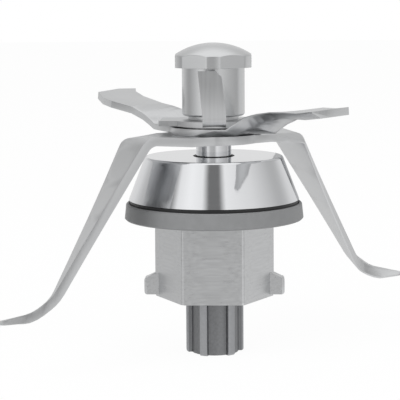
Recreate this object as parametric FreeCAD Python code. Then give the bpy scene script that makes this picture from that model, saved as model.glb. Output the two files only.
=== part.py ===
import FreeCAD, Part
import math
import os

# Food processor blade unit: a knob-headed spindle carries two bent blades above a bearing housing
# The frame: +Z up along the spindle, the drive coupling stands on Z = 0, the lower blade lies along X

# Overall stack, from the foot of the coupling upwards
COUPLING_LENGTH = 14.9
HOUSING_GAP = 1.0
HOUSING_HEX_HEIGHT = 22.1
SEAL_HEIGHT = 4.5
BELL_GAP = 1.0
BELL_HEIGHT = 12.0
COLLAR_SHOW = 3.9
KNOB_NECK_HEIGHT = 1.1
KNOB_BODY_HEIGHT = 13.3
KNOB_RIM_HEIGHT = 3.3
KNOB_DOME_HEIGHT = 3.5

# Clearances
FIT_GAP = 0.02
RUNNING_GAP = 0.08
SEAT_GAP = 0.15
THREAD_GAP = 0.03

# Spindle
SHAFT_DIAMETER = 8.0
SHAFT_FLAT_WIDTH = 6.6
SHAFT_FLANGE_DIAMETER = 11.0
SHAFT_FLANGE_HEIGHT = 1.5
SHAFT_THREAD_DIAMETER = 7.9
SHAFT_TAIL_DIAMETER = 6.4
SHAFT_TAIL_FLAT_WIDTH = 5.2
SHAFT_TAIL_RECESS = 2.0
SHAFT_HEAD_ROOM = 1.2
COLLAR_DIAMETER = 9.9

# Knob nut
KNOB_DIAMETER = 17.4
KNOB_NECK_DIAMETER = 14.0
KNOB_RIM_DIAMETER = 22.2
KNOB_FLAT_SPAN = 21.0
KNOB_FLAT_COUNT = 6
KNOB_FLAT_ANGLE = 29.0
KNOB_EDGE = 0.5
KNOB_BORE_DEPTH = 14.0

# Lock plate with the tab that leans on the knob
LOCK_THICKNESS = 1.5
LOCK_DISC_DIAMETER = 23.0
LOCK_TONGUE_REACH = 14.8
LOCK_TONGUE_WIDTH = 12.0
LOCK_TONGUE_ANGLE = 146.0
LOCK_TAB_ANGLE = -120.0
LOCK_TAB_WIDTH = 6.4
LOCK_TAB_ROOM = 0.7
LOCK_TAB_STAND = 4.2
LOCK_TAB_LEAN = 7.5
LOCK_TAB_SLANT = 5.5
LOCK_TAB_CORNER = 1.6
LOCK_BEND_RADIUS = 1.2
WASHER_THICKNESS = 0.45
WASHER_DIAMETER = 18.0

# Upper blade, whose arms rise and sweep forward
UPPER_THICKNESS = 2.0
UPPER_ANGLE = 104.5
UPPER_BEVEL = 3.4
UPPER_LAND = 0.35
UPPER_BEVEL_START = 3.6
UPPER_BEVEL_REACH = 8.4
UPPER_TIP_FROM = (48.8, -0.8)
UPPER_TIP_KNEE = (52.6, -11.9)
UPPER_TIP_TO = (52.3, -20.0)

# Lower blade, whose legs drop beside the bell and end in flared feet
LOWER_THICKNESS = 2.35
LOWER_HUB_DIAMETER = 25.0
LOWER_FLAT_REACH = 23.4
LOWER_KNEE_RADIUS = 4.5
LOWER_LEG_SLOPE = 58.5
LOWER_LEG_LENGTH = 43.5
LOWER_ANKLE_RADIUS = 12.0
LOWER_FOOT_SLOPE = 5.5
LOWER_FOOT_LENGTH = 7.2
LOWER_TOE_LENGTH = 1.5
LOWER_TOE_THICKNESS = 1.0
LOWER_BEVEL = 4.2
LOWER_LAND = 0.45
LOWER_BEVEL_START = 14.0
HUB_CHAMFER = 0.25
HUB_STEPS = 2
BEND_STEPS = 6
LEG_STEPS = 4
TOE_STEPS = 4
TOE_END = 0.97

# Bell
BELL_TOP_DIAMETER = 38.4
BELL_INSET = 1.2
BELL_WALL = 1.2
BELL_EDGE_RADIUS = 0.8
BELL_HOLE_DIAMETER = 11.6

# Housing
HEX_SIDES = 6
HEX_CORNER_DIAMETER = 33.6
HEX_CORNER_RADIUS = 1.0
HEX_CORNER_ANGLE = -32.8
HOUSING_LIP_HEIGHT = 0.6
HOUSING_LIP_DIAMETER = 33.0
FLANGE_LEDGE = 3.0
FLANGE_THICKNESS = 1.5
LUG_COUNT = 2
LUG_REACH = 19.7
LUG_SINK = 2.5
LUG_WIDTH = 8.0
LUG_HEIGHT = 4.8
LUG_EDGE_RADIUS = 0.8
LUG_RAMP = 1.6

# Bowl seal
SEAL_DIAMETER = 50.0
SEAL_TAPER = 0.4
SEAL_LIP_EDGE = 0.35
SEAL_RIM = 0.8
SEAL_RECESS = 1.0
SEAL_COVER = 1.5
O_RING_SECTION = 2.0
O_RING_HEIGHT = 3.5

# Ball bearings
BEARING_BORE = 8.0
BEARING_OUTSIDE = 22.0
BEARING_WIDTH = 7.0
BALL_DIAMETER = 3.97
BALL_COUNT = 7
BALL_CIRCLE = 15.3
INNER_LAND_DIAMETER = 12.5
OUTER_LAND_DIAMETER = 18.2
RACE_EDGE = 0.4
SHIELD_THICKNESS = 0.35
SHIELD_INSET = 0.25
SHIELD_GAP = 0.3
CAGE_WALL = 1.3
CAGE_DEPTH = 1.2
CAGE_CROWN = 2.6
SPACER_WALL = 1.4
SPRING_HEIGHT = 1.5
SPRING_STRIP = 0.35
SPRING_WAVES = 3
SPRING_WAVE_POINTS = 8
SPRING_WALL = 1.8
RING_THICKNESS = 1.2
RING_WALL = 1.9
RING_GROOVE = 0.6
RING_GAP_ANGLE = 50.0

# Shaft seal under the bell
SEAL_BORE_DIAMETER = 18.6
SEAL_CASE_HEIGHT = 3.6
SEAL_CASE_WALL = 0.6
SEAL_LIP_HEIGHT = 2.0
DUST_LIP_WALL = 0.5
GARTER_SECTION = 0.9

# Coupling
COUPLING_DIAMETER = 16.2
COUPLING_ROOT_DIAMETER = 10.8
COUPLING_RIB_COUNT = 6
COUPLING_RIB_WIDTH = 2.8
COUPLING_RIB_ANGLE = 35.0
COUPLING_RIB_EDGE = 0.4
COUPLING_HUB_LENGTH = 2.1

# Heights that follow from the stack
HOUSING_BOTTOM = COUPLING_LENGTH + HOUSING_GAP
HEX_TOP = HOUSING_BOTTOM + HOUSING_HEX_HEIGHT
SEAL_TOP = HEX_TOP + SEAL_HEIGHT
BELL_BOTTOM = SEAL_TOP + BELL_GAP
BELL_TOP = BELL_BOTTOM + BELL_HEIGHT
LOWER_BOTTOM = BELL_TOP + COLLAR_SHOW
LOWER_TOP = LOWER_BOTTOM + LOWER_THICKNESS
UPPER_TOP = LOWER_TOP + UPPER_THICKNESS
WASHER_TOP = UPPER_TOP + WASHER_THICKNESS
LOCK_TOP = WASHER_TOP + LOCK_THICKNESS
KNOB_BOTTOM = LOCK_TOP
KNOB_BODY_BOTTOM = KNOB_BOTTOM + KNOB_NECK_HEIGHT
KNOB_RIM_BOTTOM = KNOB_BODY_BOTTOM + KNOB_BODY_HEIGHT
KNOB_RIM_TOP = KNOB_RIM_BOTTOM + KNOB_RIM_HEIGHT
KNOB_TOP = KNOB_RIM_TOP + KNOB_DOME_HEIGHT
FLANGE_BOTTOM = COUPLING_LENGTH + COUPLING_HUB_LENGTH
LOWER_BEARING_BOTTOM = FLANGE_BOTTOM + SHAFT_FLANGE_HEIGHT
LOWER_BEARING_TOP = LOWER_BEARING_BOTTOM + BEARING_WIDTH
SHAFT_SEAL_TOP = BELL_TOP - BELL_WALL
SHAFT_SEAL_BOTTOM = SHAFT_SEAL_TOP - SEAL_CASE_HEIGHT
UPPER_BEARING_TOP = SHAFT_SEAL_BOTTOM - RUNNING_GAP
UPPER_BEARING_BOTTOM = UPPER_BEARING_TOP - BEARING_WIDTH
BELL_BOTTOM_DIAMETER = SEAL_DIAMETER - 2 * BELL_INSET
BELL_SLOPE = (BELL_BOTTOM_DIAMETER - BELL_TOP_DIAMETER) / 2.0 / BELL_HEIGHT
FLANGE_DIAMETER = SEAL_DIAMETER - 2 * SEAL_COVER
NECK_DIAMETER = FLANGE_DIAMETER - 2 * FLANGE_LEDGE
LOCK_TAB_REACH = KNOB_DIAMETER / 2.0 + LOCK_TAB_STAND
LOCK_TAB_HEIGHT = LOCK_THICKNESS + KNOB_NECK_HEIGHT + KNOB_BODY_HEIGHT - LOCK_TAB_ROOM

UP = FreeCAD.Vector(0, 0, 1)
ORIGIN = FreeCAD.Vector(0, 0, 0)
FAR = 200.0

# Stations of one upper arm: reach along the arm's datum, height above the hub's top, width ahead of
# the datum, width behind it, and twist in degrees that lifts the trailing side
UPPER_STATIONS = (
    (0.0, 0.0, 12.0, 12.0, 0.0),
    (3.6, 0.0, 11.4, 11.4, 0.0),
    (6.2, 0.0, 10.2, 10.2, 0.0),
    (8.4, 0.0, 8.5, 8.5, 0.0),
    (11.0, 0.0, 6.6, 6.6, 0.0),
    (16.0, 2.2, 4.4, 7.1, -18.0),
    (18.0, 3.3, 4.0, 7.5, -12.5),
    (20.0, 4.1, 3.6, 7.8, -8.5),
    (24.0, 5.1, 3.3, 8.7, -2.0),
    (32.0, 5.9, 7.0, 9.3, 1.5),
    (40.0, 6.4, 10.9, 5.4, 1.5),
    (48.0, 7.5, 15.0, 0.2, 1.5),
    (56.0, 8.7, 22.4, -5.4, 1.5),
)

# Stations of one lower leg: distance along it, width ahead of the centre line, width behind it, twist
LOWER_STATIONS = (
    (4.0, 10.6, 10.6, 0.0),
    (13.0, 9.8, 10.4, 0.0),
    (26.0, 10.1, 10.3, 6.0),
    (50.0, 7.0, 9.8, 15.0),
    (66.0, 4.2, 8.1, 19.0),
    (78.0, -0.6, 6.2, 22.0),
    (90.0, 0.8, 1.3, 2.0),
)


def vec(x, y, z):
    return FreeCAD.Vector(x, y, z)


def turned(shape, degrees):
    copy = shape.copy()
    copy.rotate(ORIGIN, UP, degrees)
    return copy


def disc(diameter, bottom, top):
    return Part.makeCylinder(diameter / 2.0, top - bottom, vec(0, 0, bottom))


def tube(outside, inside, bottom, top):
    return disc(outside, bottom, top).cut(disc(inside, bottom, top))


def spun(points):
    # A turned solid from (radius, height) points
    wire = Part.makePolygon([vec(r, 0, z) for r, z in points + [points[0]]])
    return Part.Face(wire).revolve(ORIGIN, UP, 360)


def double_flat(diameter, across, bottom, top):
    # A round bar or hole with two flats that face +Y and -Y
    slab = Part.makeBox(diameter, across, top - bottom, vec(-diameter / 2.0, -across / 2.0, bottom))
    return disc(diameter, bottom, top).common(slab)


def on_flats(body, bottom, top):
    # Cut the double-flat hole by which a blade or plate is driven
    hole = double_flat(SHAFT_DIAMETER + 2 * FIT_GAP, SHAFT_FLAT_WIDTH + 2 * FIT_GAP, bottom, top)
    return body.cut(hole)


def prism(points, bottom, top):
    wire = Part.makePolygon([vec(x, y, bottom) for x, y in points + [points[0]]])
    return Part.Face(wire).extrude(vec(0, 0, top - bottom))


def between(stations, column, where):
    # Value of one column at a place between two stations
    for near, far in zip(stations, stations[1:]):
        if where <= far[0]:
            share = max(0.0, where - near[0]) / (far[0] - near[0])
            return near[column] + (far[column] - near[column]) * share
    return stations[-1][column]


def ground_share(reach, start, full_reach):
    # How far the cutting bevel has grown: nothing up to its start, full at the given reach
    return min(1.0, max(0.0, (reach - start) / (full_reach - start)))


def section(centre, slope, ahead, behind, twist, thickness, bevel, land, bevel_on_top):
    # Five-sided section of a blade arm, square to an arm that runs along X at the given slope
    across = vec(-math.sin(slope) * math.sin(twist), math.cos(twist), math.cos(slope) * math.sin(twist))
    normal = vec(-math.sin(slope) * math.cos(twist), -math.sin(twist), math.cos(slope) * math.cos(twist))
    if bevel_on_top:
        corners = ((behind, 0), (bevel - ahead, 0), (-ahead, land - thickness), (-ahead, -thickness),
                   (behind, -thickness))
    else:
        corners = ((behind, 0), (-ahead, 0), (-ahead, -land), (bevel - ahead, -thickness),
                   (behind, -thickness))
    points = [centre + across * side + normal * depth for side, depth in corners]
    return Part.makePolygon(points + [points[0]])


def lower_path():
    # Centre line of a leg as (distance, reach, drop, slope): flat, knee, leg, ankle, foot, toe
    knee = math.radians(LOWER_LEG_SLOPE)
    ankle = math.radians(LOWER_LEG_SLOPE - LOWER_FOOT_SLOPE)
    inside_hub = LOWER_STATIONS[0][0]
    still_flat = LOWER_STATIONS[1][0]
    runs = (
        (inside_hub, 0.0, 1),
        (still_flat - inside_hub, 0.0, 1),
        (LOWER_FLAT_REACH - still_flat, 0.0, HUB_STEPS),
        (LOWER_KNEE_RADIUS * knee, -knee, BEND_STEPS),
        (LOWER_LEG_LENGTH, 0.0, LEG_STEPS),
        (LOWER_ANKLE_RADIUS * ankle, ankle, BEND_STEPS),
        (LOWER_FOOT_LENGTH - LOWER_TOE_LENGTH, 0.0, 1),
        (LOWER_TOE_LENGTH, 0.0, TOE_STEPS),
    )
    distance, reach, drop, slope = 0.0, 0.0, 0.0, 0.0
    line = []
    for length, turn, count in runs:
        for _ in range(count):
            middle = slope + turn / count / 2.0
            distance += length / count
            reach += length / count * math.cos(middle)
            drop += length / count * math.sin(middle)
            slope += turn / count
            line.append((distance, reach, drop, slope))
    return line


def lower_leg():
    line = lower_path()
    toe_start = line[-1][0] - LOWER_TOE_LENGTH
    ankle_end = line[-1][0] - LOWER_FOOT_LENGTH
    wires = []
    for distance, reach, drop, slope in line:
        into_toe = max(0.0, distance - toe_start) / LOWER_TOE_LENGTH
        narrow = math.sqrt(1.0 - min(into_toe, TOE_END) ** 2)
        ground = ground_share(reach, LOWER_BEVEL_START, LOWER_FLAT_REACH)
        ahead = between(LOWER_STATIONS, 1, distance) * narrow
        behind = between(LOWER_STATIONS, 2, distance) * narrow
        bevel = min(HUB_CHAMFER + (LOWER_BEVEL - HUB_CHAMFER) * ground, (ahead + behind) / 2.0)
        land = LOWER_THICKNESS - HUB_CHAMFER + (LOWER_LAND + HUB_CHAMFER - LOWER_THICKNESS) * ground
        thinning = max(0.0, distance - ankle_end) / (line[-1][0] - ankle_end)
        thickness = LOWER_THICKNESS + (LOWER_TOE_THICKNESS - LOWER_THICKNESS) * thinning
        twist = math.radians(between(LOWER_STATIONS, 3, distance))
        centre = vec(reach, 0, LOWER_TOP + drop)
        wires.append(section(centre, slope, ahead, behind, twist, thickness, bevel, land, True))
    return Part.makeLoft(wires, True, True)


def make_lower_blade():
    leg = lower_leg()
    hub = disc(LOWER_HUB_DIAMETER, LOWER_BOTTOM, LOWER_TOP)
    blade = hub.fuse([leg, turned(leg, 180)])
    return on_flats(blade, LOWER_BOTTOM, LOWER_TOP)


def trimmed(shape, start, end):
    # Cut away what lies to the left of the line from start to end, seen from above
    along = vec(end[0] - start[0], end[1] - start[1], 0)
    along.normalize()
    left = vec(-along.y, along.x, 0) * FAR
    first = vec(start[0], start[1], -FAR) - along * FAR
    second = vec(start[0], start[1], -FAR) + along * FAR
    wire = Part.makePolygon([first, second, second + left, first + left, first])
    return shape.cut(Part.Face(wire).extrude(vec(0, 0, 2 * FAR)))


def upper_arm():
    wires = []
    for index, (reach, rise, ahead, behind, twist) in enumerate(UPPER_STATIONS):
        before = UPPER_STATIONS[max(index - 1, 0)]
        after = UPPER_STATIONS[min(index + 1, len(UPPER_STATIONS) - 1)]
        slope = math.atan2(after[1] - before[1], after[0] - before[0]) if rise > 0 else 0.0
        ground = ground_share(reach, UPPER_BEVEL_START, UPPER_BEVEL_REACH)
        bevel = HUB_CHAMFER + (UPPER_BEVEL - HUB_CHAMFER) * ground
        land = UPPER_THICKNESS - HUB_CHAMFER + (UPPER_LAND + HUB_CHAMFER - UPPER_THICKNESS) * ground
        centre = vec(reach, 0, UPPER_TOP + rise)
        wires.append(section(centre, slope, ahead, behind, math.radians(twist), UPPER_THICKNESS,
                             bevel, land, False))
    arm = Part.makeLoft(wires, True, True)
    arm = trimmed(arm, UPPER_TIP_FROM, UPPER_TIP_KNEE)
    arm = trimmed(arm, UPPER_TIP_KNEE, UPPER_TIP_TO)
    return turned(arm, UPPER_ANGLE)


def make_upper_blade():
    arm = upper_arm()
    blade = arm.fuse(turned(arm, 180)).removeSplitter()
    blade = blade.cut(disc(2 * FAR, LOWER_TOP - UPPER_THICKNESS, LOWER_TOP))
    return on_flats(blade, LOWER_TOP, UPPER_TOP)


def make_blade_washer():
    return on_flats(disc(WASHER_DIAMETER, UPPER_TOP, WASHER_TOP), UPPER_TOP, WASHER_TOP)


def lock_tab():
    # The tab stands across X at its bend, leans towards the knob and slants sideways
    inner = LOCK_BEND_RADIUS
    outer = LOCK_BEND_RADIUS + LOCK_THICKNESS
    half = LOCK_TAB_WIDTH / 2.0
    foot = LOCK_TAB_REACH - outer
    lean = math.radians(90.0 + LOCK_TAB_LEAN)
    length = LOCK_TAB_HEIGHT - outer
    pivot = vec(foot, 0, WASHER_TOP + outer)
    start = vec(foot - outer, -half, WASHER_TOP)
    strip = Part.makeBox(outer, LOCK_TAB_WIDTH, LOCK_THICKNESS, start)
    edge = Part.makePolygon([vec(foot, -half, WASHER_TOP), vec(foot, half, WASHER_TOP),
                             vec(foot, half, LOCK_TOP), vec(foot, -half, LOCK_TOP),
                             vec(foot, -half, WASHER_TOP)])
    bend = Part.Face(edge).revolve(pivot, vec(0, -1, 0), math.degrees(lean))
    along = vec(math.cos(lean), 0, math.sin(lean))
    outward = vec(math.sin(lean), 0, -math.cos(lean))
    root = pivot + outward * inner
    slide = math.tan(math.radians(LOCK_TAB_SLANT)) * length
    corner = LOCK_TAB_CORNER
    sides = [(0, -half), (0, half), (length - corner, half - slide), (length, half - slide - corner),
             (length, -half - slide), (0, -half)]
    blade = Part.Face(Part.makePolygon([root + along * up + vec(0, side, 0) for up, side in sides]))
    return strip.fuse([bend, blade.extrude(outward * LOCK_THICKNESS)])


def make_lock_plate():
    plate = disc(LOCK_DISC_DIAMETER, WASHER_TOP, LOCK_TOP)
    tongue = Part.makeBox(LOCK_TONGUE_REACH, LOCK_TONGUE_WIDTH, LOCK_THICKNESS,
                          vec(0, -LOCK_TONGUE_WIDTH / 2.0, WASHER_TOP))
    plate = plate.fuse([turned(tongue, LOCK_TONGUE_ANGLE), turned(lock_tab(), LOCK_TAB_ANGLE)])
    return on_flats(plate.removeSplitter(), WASHER_TOP, LOCK_TOP)


def make_knob_nut():
    body = KNOB_DIAMETER / 2.0
    neck = KNOB_NECK_DIAMETER / 2.0
    rim = KNOB_RIM_DIAMETER / 2.0
    bore = SHAFT_THREAD_DIAMETER / 2.0 + THREAD_GAP
    roof = KNOB_BOTTOM + KNOB_BORE_DEPTH
    knob = spun([(0, roof), (bore, roof), (bore, KNOB_BOTTOM), (neck, KNOB_BOTTOM),
                 (neck, KNOB_BODY_BOTTOM), (body - KNOB_EDGE, KNOB_BODY_BOTTOM),
                 (body, KNOB_BODY_BOTTOM + KNOB_EDGE), (body, KNOB_RIM_BOTTOM), (rim, KNOB_RIM_BOTTOM),
                 (rim, KNOB_TOP), (0, KNOB_TOP)])
    dome_radius = (rim ** 2 + KNOB_DOME_HEIGHT ** 2) / (2 * KNOB_DOME_HEIGHT)
    knob = knob.common(Part.makeSphere(dome_radius, vec(0, 0, KNOB_TOP - dome_radius)))
    for index in range(KNOB_FLAT_COUNT):
        corner = vec(KNOB_FLAT_SPAN / 2.0, -FAR / 2.0, KNOB_RIM_BOTTOM - KNOB_EDGE)
        waste = Part.makeBox(FAR, FAR, FAR, corner)
        knob = knob.cut(turned(waste, KNOB_FLAT_ANGLE + index * 360.0 / KNOB_FLAT_COUNT))
    return knob


def make_shaft():
    # Flanged below the lower bearing, flatted where the blades sit, threaded inside the knob
    head = KNOB_BOTTOM + KNOB_BORE_DEPTH - SHAFT_HEAD_ROOM
    bars = [
        double_flat(SHAFT_TAIL_DIAMETER, SHAFT_TAIL_FLAT_WIDTH, SHAFT_TAIL_RECESS, FLANGE_BOTTOM),
        disc(SHAFT_FLANGE_DIAMETER, FLANGE_BOTTOM, LOWER_BEARING_BOTTOM),
        disc(SHAFT_DIAMETER, LOWER_BEARING_BOTTOM, LOWER_BOTTOM),
        double_flat(SHAFT_DIAMETER, SHAFT_FLAT_WIDTH, LOWER_BOTTOM, LOCK_TOP),
        disc(SHAFT_THREAD_DIAMETER, LOCK_TOP, head).common(
            double_flat(SHAFT_THREAD_DIAMETER, SHAFT_FLAT_WIDTH, LOCK_TOP, head)),
    ]
    return bars[0].fuse(bars[1:])


def make_shaft_collar():
    return tube(COLLAR_DIAMETER, SHAFT_DIAMETER + 2 * FIT_GAP, UPPER_BEARING_TOP, LOWER_BOTTOM)


def make_bearing_spacer():
    bore = SHAFT_DIAMETER + 2 * FIT_GAP
    return tube(bore + 2 * SPACER_WALL, bore, LOWER_BEARING_TOP, UPPER_BEARING_BOTTOM)


def make_drive_coupling():
    # Ribs mate with the motor's star socket, the bore is pressed on the flatted tail of the shaft
    coupling = disc(COUPLING_ROOT_DIAMETER, 0, FLANGE_BOTTOM)
    outer = COUPLING_DIAMETER / 2.0
    half = COUPLING_RIB_WIDTH / 2.0
    bar = [(0, -half), (outer, -half), (outer, half), (0, half)]
    for index in range(COUPLING_RIB_COUNT):
        rib = prism(bar, 0, COUPLING_LENGTH)
        coupling = coupling.fuse(turned(rib, COUPLING_RIB_ANGLE + index * 360.0 / COUPLING_RIB_COUNT))
    edge = COUPLING_RIB_EDGE
    envelope = spun([(0, 0), (outer - edge, 0), (outer, edge), (outer, COUPLING_LENGTH - edge),
                     (outer - edge, COUPLING_LENGTH), (COUPLING_ROOT_DIAMETER / 2.0, COUPLING_LENGTH),
                     (COUPLING_ROOT_DIAMETER / 2.0, FLANGE_BOTTOM), (0, FLANGE_BOTTOM)])
    coupling = coupling.common(envelope).removeSplitter()
    bore = double_flat(SHAFT_TAIL_DIAMETER + 2 * FIT_GAP, SHAFT_TAIL_FLAT_WIDTH + 2 * FIT_GAP, 0,
                       FLANGE_BOTTOM)
    return coupling.cut(bore)


def bell_inside_radius(height):
    return BELL_BOTTOM_DIAMETER / 2.0 - BELL_WALL - (height - BELL_BOTTOM) * BELL_SLOPE


def make_bell():
    bottom = BELL_BOTTOM_DIAMETER / 2.0
    top = BELL_TOP_DIAMETER / 2.0
    under_roof = BELL_TOP - BELL_WALL
    hole = BELL_HOLE_DIAMETER / 2.0
    bell = spun([(hole, BELL_TOP), (top, BELL_TOP), (bottom, BELL_BOTTOM), (bottom - BELL_WALL, BELL_BOTTOM),
                 (bell_inside_radius(under_roof), under_roof), (hole, under_roof)])
    rims = [edge for edge in bell.Edges
            if abs(edge.BoundBox.ZMin - BELL_TOP) < FIT_GAP and edge.BoundBox.XMax > top - BELL_WALL]
    return bell.makeFillet(BELL_EDGE_RADIUS, rims)


def hex_prism():
    corner = HEX_CORNER_DIAMETER / 2.0
    points = []
    for index in range(HEX_SIDES):
        angle = math.radians(HEX_CORNER_ANGLE + index * 360.0 / HEX_SIDES)
        points.append((corner * math.cos(angle), corner * math.sin(angle)))
    block = prism(points, HOUSING_BOTTOM, HEX_TOP)
    uprights = [edge for edge in block.Edges if edge.BoundBox.ZLength > HOUSING_HEX_HEIGHT / 2.0]
    return block.makeFillet(HEX_CORNER_RADIUS, uprights)


def bayonet_lug():
    bottom = HOUSING_BOTTOM + HOUSING_LIP_HEIGHT
    root = HEX_CORNER_DIAMETER / 2.0 - LUG_SINK
    lug = Part.makeBox(LUG_REACH - root, LUG_WIDTH, LUG_HEIGHT, vec(root, -LUG_WIDTH / 2.0, bottom))
    ends = [edge for edge in lug.Edges if edge.BoundBox.XMin > LUG_REACH - LUG_EDGE_RADIUS]
    lug = lug.makeFillet(LUG_EDGE_RADIUS, ends)
    side = LUG_WIDTH / 2.0
    top = bottom + LUG_HEIGHT
    wedge = Part.makePolygon([vec(root, -side, top), vec(LUG_REACH - LUG_EDGE_RADIUS, -side, top),
                              vec(root, -side, top + LUG_RAMP), vec(root, -side, top)])
    return lug.fuse(Part.Face(wedge).extrude(vec(0, LUG_WIDTH, 0)))


def make_housing():
    # Hexagonal below the bowl seal, turned above it, bored right through for the bearings
    head_top = SHAFT_SEAL_TOP
    flange_bottom = HEX_TOP + (SEAL_HEIGHT - FLANGE_THICKNESS) / 2.0
    flange_top = flange_bottom + FLANGE_THICKNESS
    neck = NECK_DIAMETER / 2.0
    flange = FLANGE_DIAMETER / 2.0
    groove_top = BELL_BOTTOM + O_RING_HEIGHT + O_RING_SECTION
    groove_bottom = BELL_BOTTOM + O_RING_HEIGHT
    seat = bell_inside_radius(BELL_BOTTOM) - SEAT_GAP
    groove = bell_inside_radius(groove_top) - O_RING_SECTION
    head = spun([(0, HEX_TOP), (neck, HEX_TOP), (neck, flange_bottom), (flange, flange_bottom),
                 (flange, flange_top), (seat, flange_top), (seat, BELL_BOTTOM),
                 (bell_inside_radius(groove_bottom) - SEAT_GAP, groove_bottom), (groove, groove_bottom),
                 (groove, groove_top), (bell_inside_radius(groove_top) - SEAT_GAP, groove_top),
                 (bell_inside_radius(head_top) - SEAT_GAP, head_top), (0, head_top)])
    block = hex_prism()
    block = block.cut(tube(2 * HEX_CORNER_DIAMETER, HOUSING_LIP_DIAMETER, HOUSING_BOTTOM,
                           HOUSING_BOTTOM + HOUSING_LIP_HEIGHT))
    lugs = []
    for index in range(LUG_COUNT):
        lugs.append(turned(bayonet_lug(), HEX_CORNER_ANGLE + index * 360.0 / LUG_COUNT))
    body = head.fuse([block] + lugs).removeSplitter()
    bore = BEARING_OUTSIDE + 2 * FIT_GAP
    body = body.cut(disc(bore, HOUSING_BOTTOM, UPPER_BEARING_TOP))
    body = body.cut(disc(SEAL_BORE_DIAMETER + 2 * FIT_GAP, UPPER_BEARING_TOP, head_top))
    ring_bottom = LOWER_BEARING_BOTTOM - RING_THICKNESS - FIT_GAP
    return body.cut(disc(bore + 2 * RING_GROOVE, ring_bottom - FIT_GAP, LOWER_BEARING_BOTTOM))


def make_bowl_seal():
    # A rubber ring that wraps the flange and squeezes between bowl and housing
    flange_bottom = HEX_TOP + (SEAL_HEIGHT - FLANGE_THICKNESS) / 2.0 - FIT_GAP
    flange_top = flange_bottom + FLANGE_THICKNESS + 2 * FIT_GAP
    low = SEAL_DIAMETER / 2.0
    high = low - SEAL_TAPER
    neck = NECK_DIAMETER / 2.0 + FIT_GAP
    collar = bell_inside_radius(BELL_BOTTOM) - SEAT_GAP + FIT_GAP
    groove = FLANGE_DIAMETER / 2.0 + FIT_GAP
    lip = SEAL_LIP_EDGE
    rim = high - SEAL_RIM
    floor = SEAL_TOP - SEAL_RECESS
    return spun([(neck, HEX_TOP), (low - lip, HEX_TOP), (low, HEX_TOP + lip), (high, SEAL_TOP - lip),
                 (high - lip, SEAL_TOP), (rim, SEAL_TOP), (rim, floor), (collar, floor),
                 (collar, flange_top), (groove, flange_top), (groove, flange_bottom),
                 (neck, flange_bottom)])


def make_bell_o_ring():
    radius = bell_inside_radius(BELL_BOTTOM + O_RING_HEIGHT + O_RING_SECTION) - O_RING_SECTION / 2.0
    centre = vec(0, 0, BELL_BOTTOM + O_RING_HEIGHT + O_RING_SECTION / 2.0)
    return Part.makeTorus(radius, O_RING_SECTION / 2.0 - FIT_GAP, centre, UP)


def race_groove(middle):
    return Part.makeTorus(BALL_CIRCLE / 2.0, BALL_DIAMETER / 2.0 + RUNNING_GAP, vec(0, 0, middle), UP)


def inner_ring(bottom):
    top = bottom + BEARING_WIDTH
    bore = BEARING_BORE / 2.0 + FIT_GAP
    land = INNER_LAND_DIAMETER / 2.0
    ring = spun([(bore, bottom + RACE_EDGE), (bore + RACE_EDGE, bottom), (land, bottom), (land, top),
                 (bore + RACE_EDGE, top), (bore, top - RACE_EDGE)])
    return ring.cut(race_groove(bottom + BEARING_WIDTH / 2.0))


def outer_ring(bottom):
    top = bottom + BEARING_WIDTH
    outside = BEARING_OUTSIDE / 2.0
    land = OUTER_LAND_DIAMETER / 2.0
    ring = spun([(land, bottom), (outside - RACE_EDGE, bottom), (outside, bottom + RACE_EDGE),
                 (outside, top - RACE_EDGE), (outside - RACE_EDGE, top), (land, top)])
    return ring.cut(race_groove(bottom + BEARING_WIDTH / 2.0))


def ball_places(middle):
    places = []
    for index in range(BALL_COUNT):
        angle = math.radians(index * 360.0 / BALL_COUNT)
        places.append(vec(BALL_CIRCLE / 2.0 * math.cos(angle), BALL_CIRCLE / 2.0 * math.sin(angle), middle))
    return places


def balls(bottom):
    middle = bottom + BEARING_WIDTH / 2.0
    return Part.makeCompound([Part.makeSphere(BALL_DIAMETER / 2.0, place) for place in ball_places(middle)])


def cage(bottom):
    middle = bottom + BEARING_WIDTH / 2.0
    ribbon = tube(BALL_CIRCLE + CAGE_WALL, BALL_CIRCLE - CAGE_WALL, middle - CAGE_DEPTH, middle + CAGE_CROWN)
    pockets = [Part.makeSphere(BALL_DIAMETER / 2.0 + RUNNING_GAP, place) for place in ball_places(middle)]
    return ribbon.cut(pockets)


def shields(bottom):
    inside = INNER_LAND_DIAMETER + 2 * SHIELD_GAP
    outside = OUTER_LAND_DIAMETER - 2 * FIT_GAP
    low = bottom + SHIELD_INSET
    high = bottom + BEARING_WIDTH - SHIELD_INSET - SHIELD_THICKNESS
    pair = [tube(outside, inside, place, place + SHIELD_THICKNESS) for place in (low, high)]
    return Part.makeCompound(pair)


def make_outer_spacer():
    return tube(BEARING_OUTSIDE, BEARING_OUTSIDE - 2 * SPACER_WALL, LOWER_BEARING_TOP + SPRING_HEIGHT,
                UPPER_BEARING_BOTTOM)


def wave_edge(radius, lift):
    # One closed edge of the wave spring, which rises and falls between bearing and spacer
    count = SPRING_WAVES * SPRING_WAVE_POINTS
    swing = (SPRING_HEIGHT - SPRING_STRIP) / 2.0 - FIT_GAP
    middle = LOWER_BEARING_TOP + SPRING_HEIGHT / 2.0
    points = []
    for index in range(count):
        angle = 2.0 * math.pi * index / count
        points.append(vec(radius * math.cos(angle), radius * math.sin(angle),
                          middle + lift + swing * math.cos(SPRING_WAVES * angle)))
    curve = Part.BSplineCurve()
    curve.interpolate(Points=points, PeriodicFlag=True)
    return curve.toShape()


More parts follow.
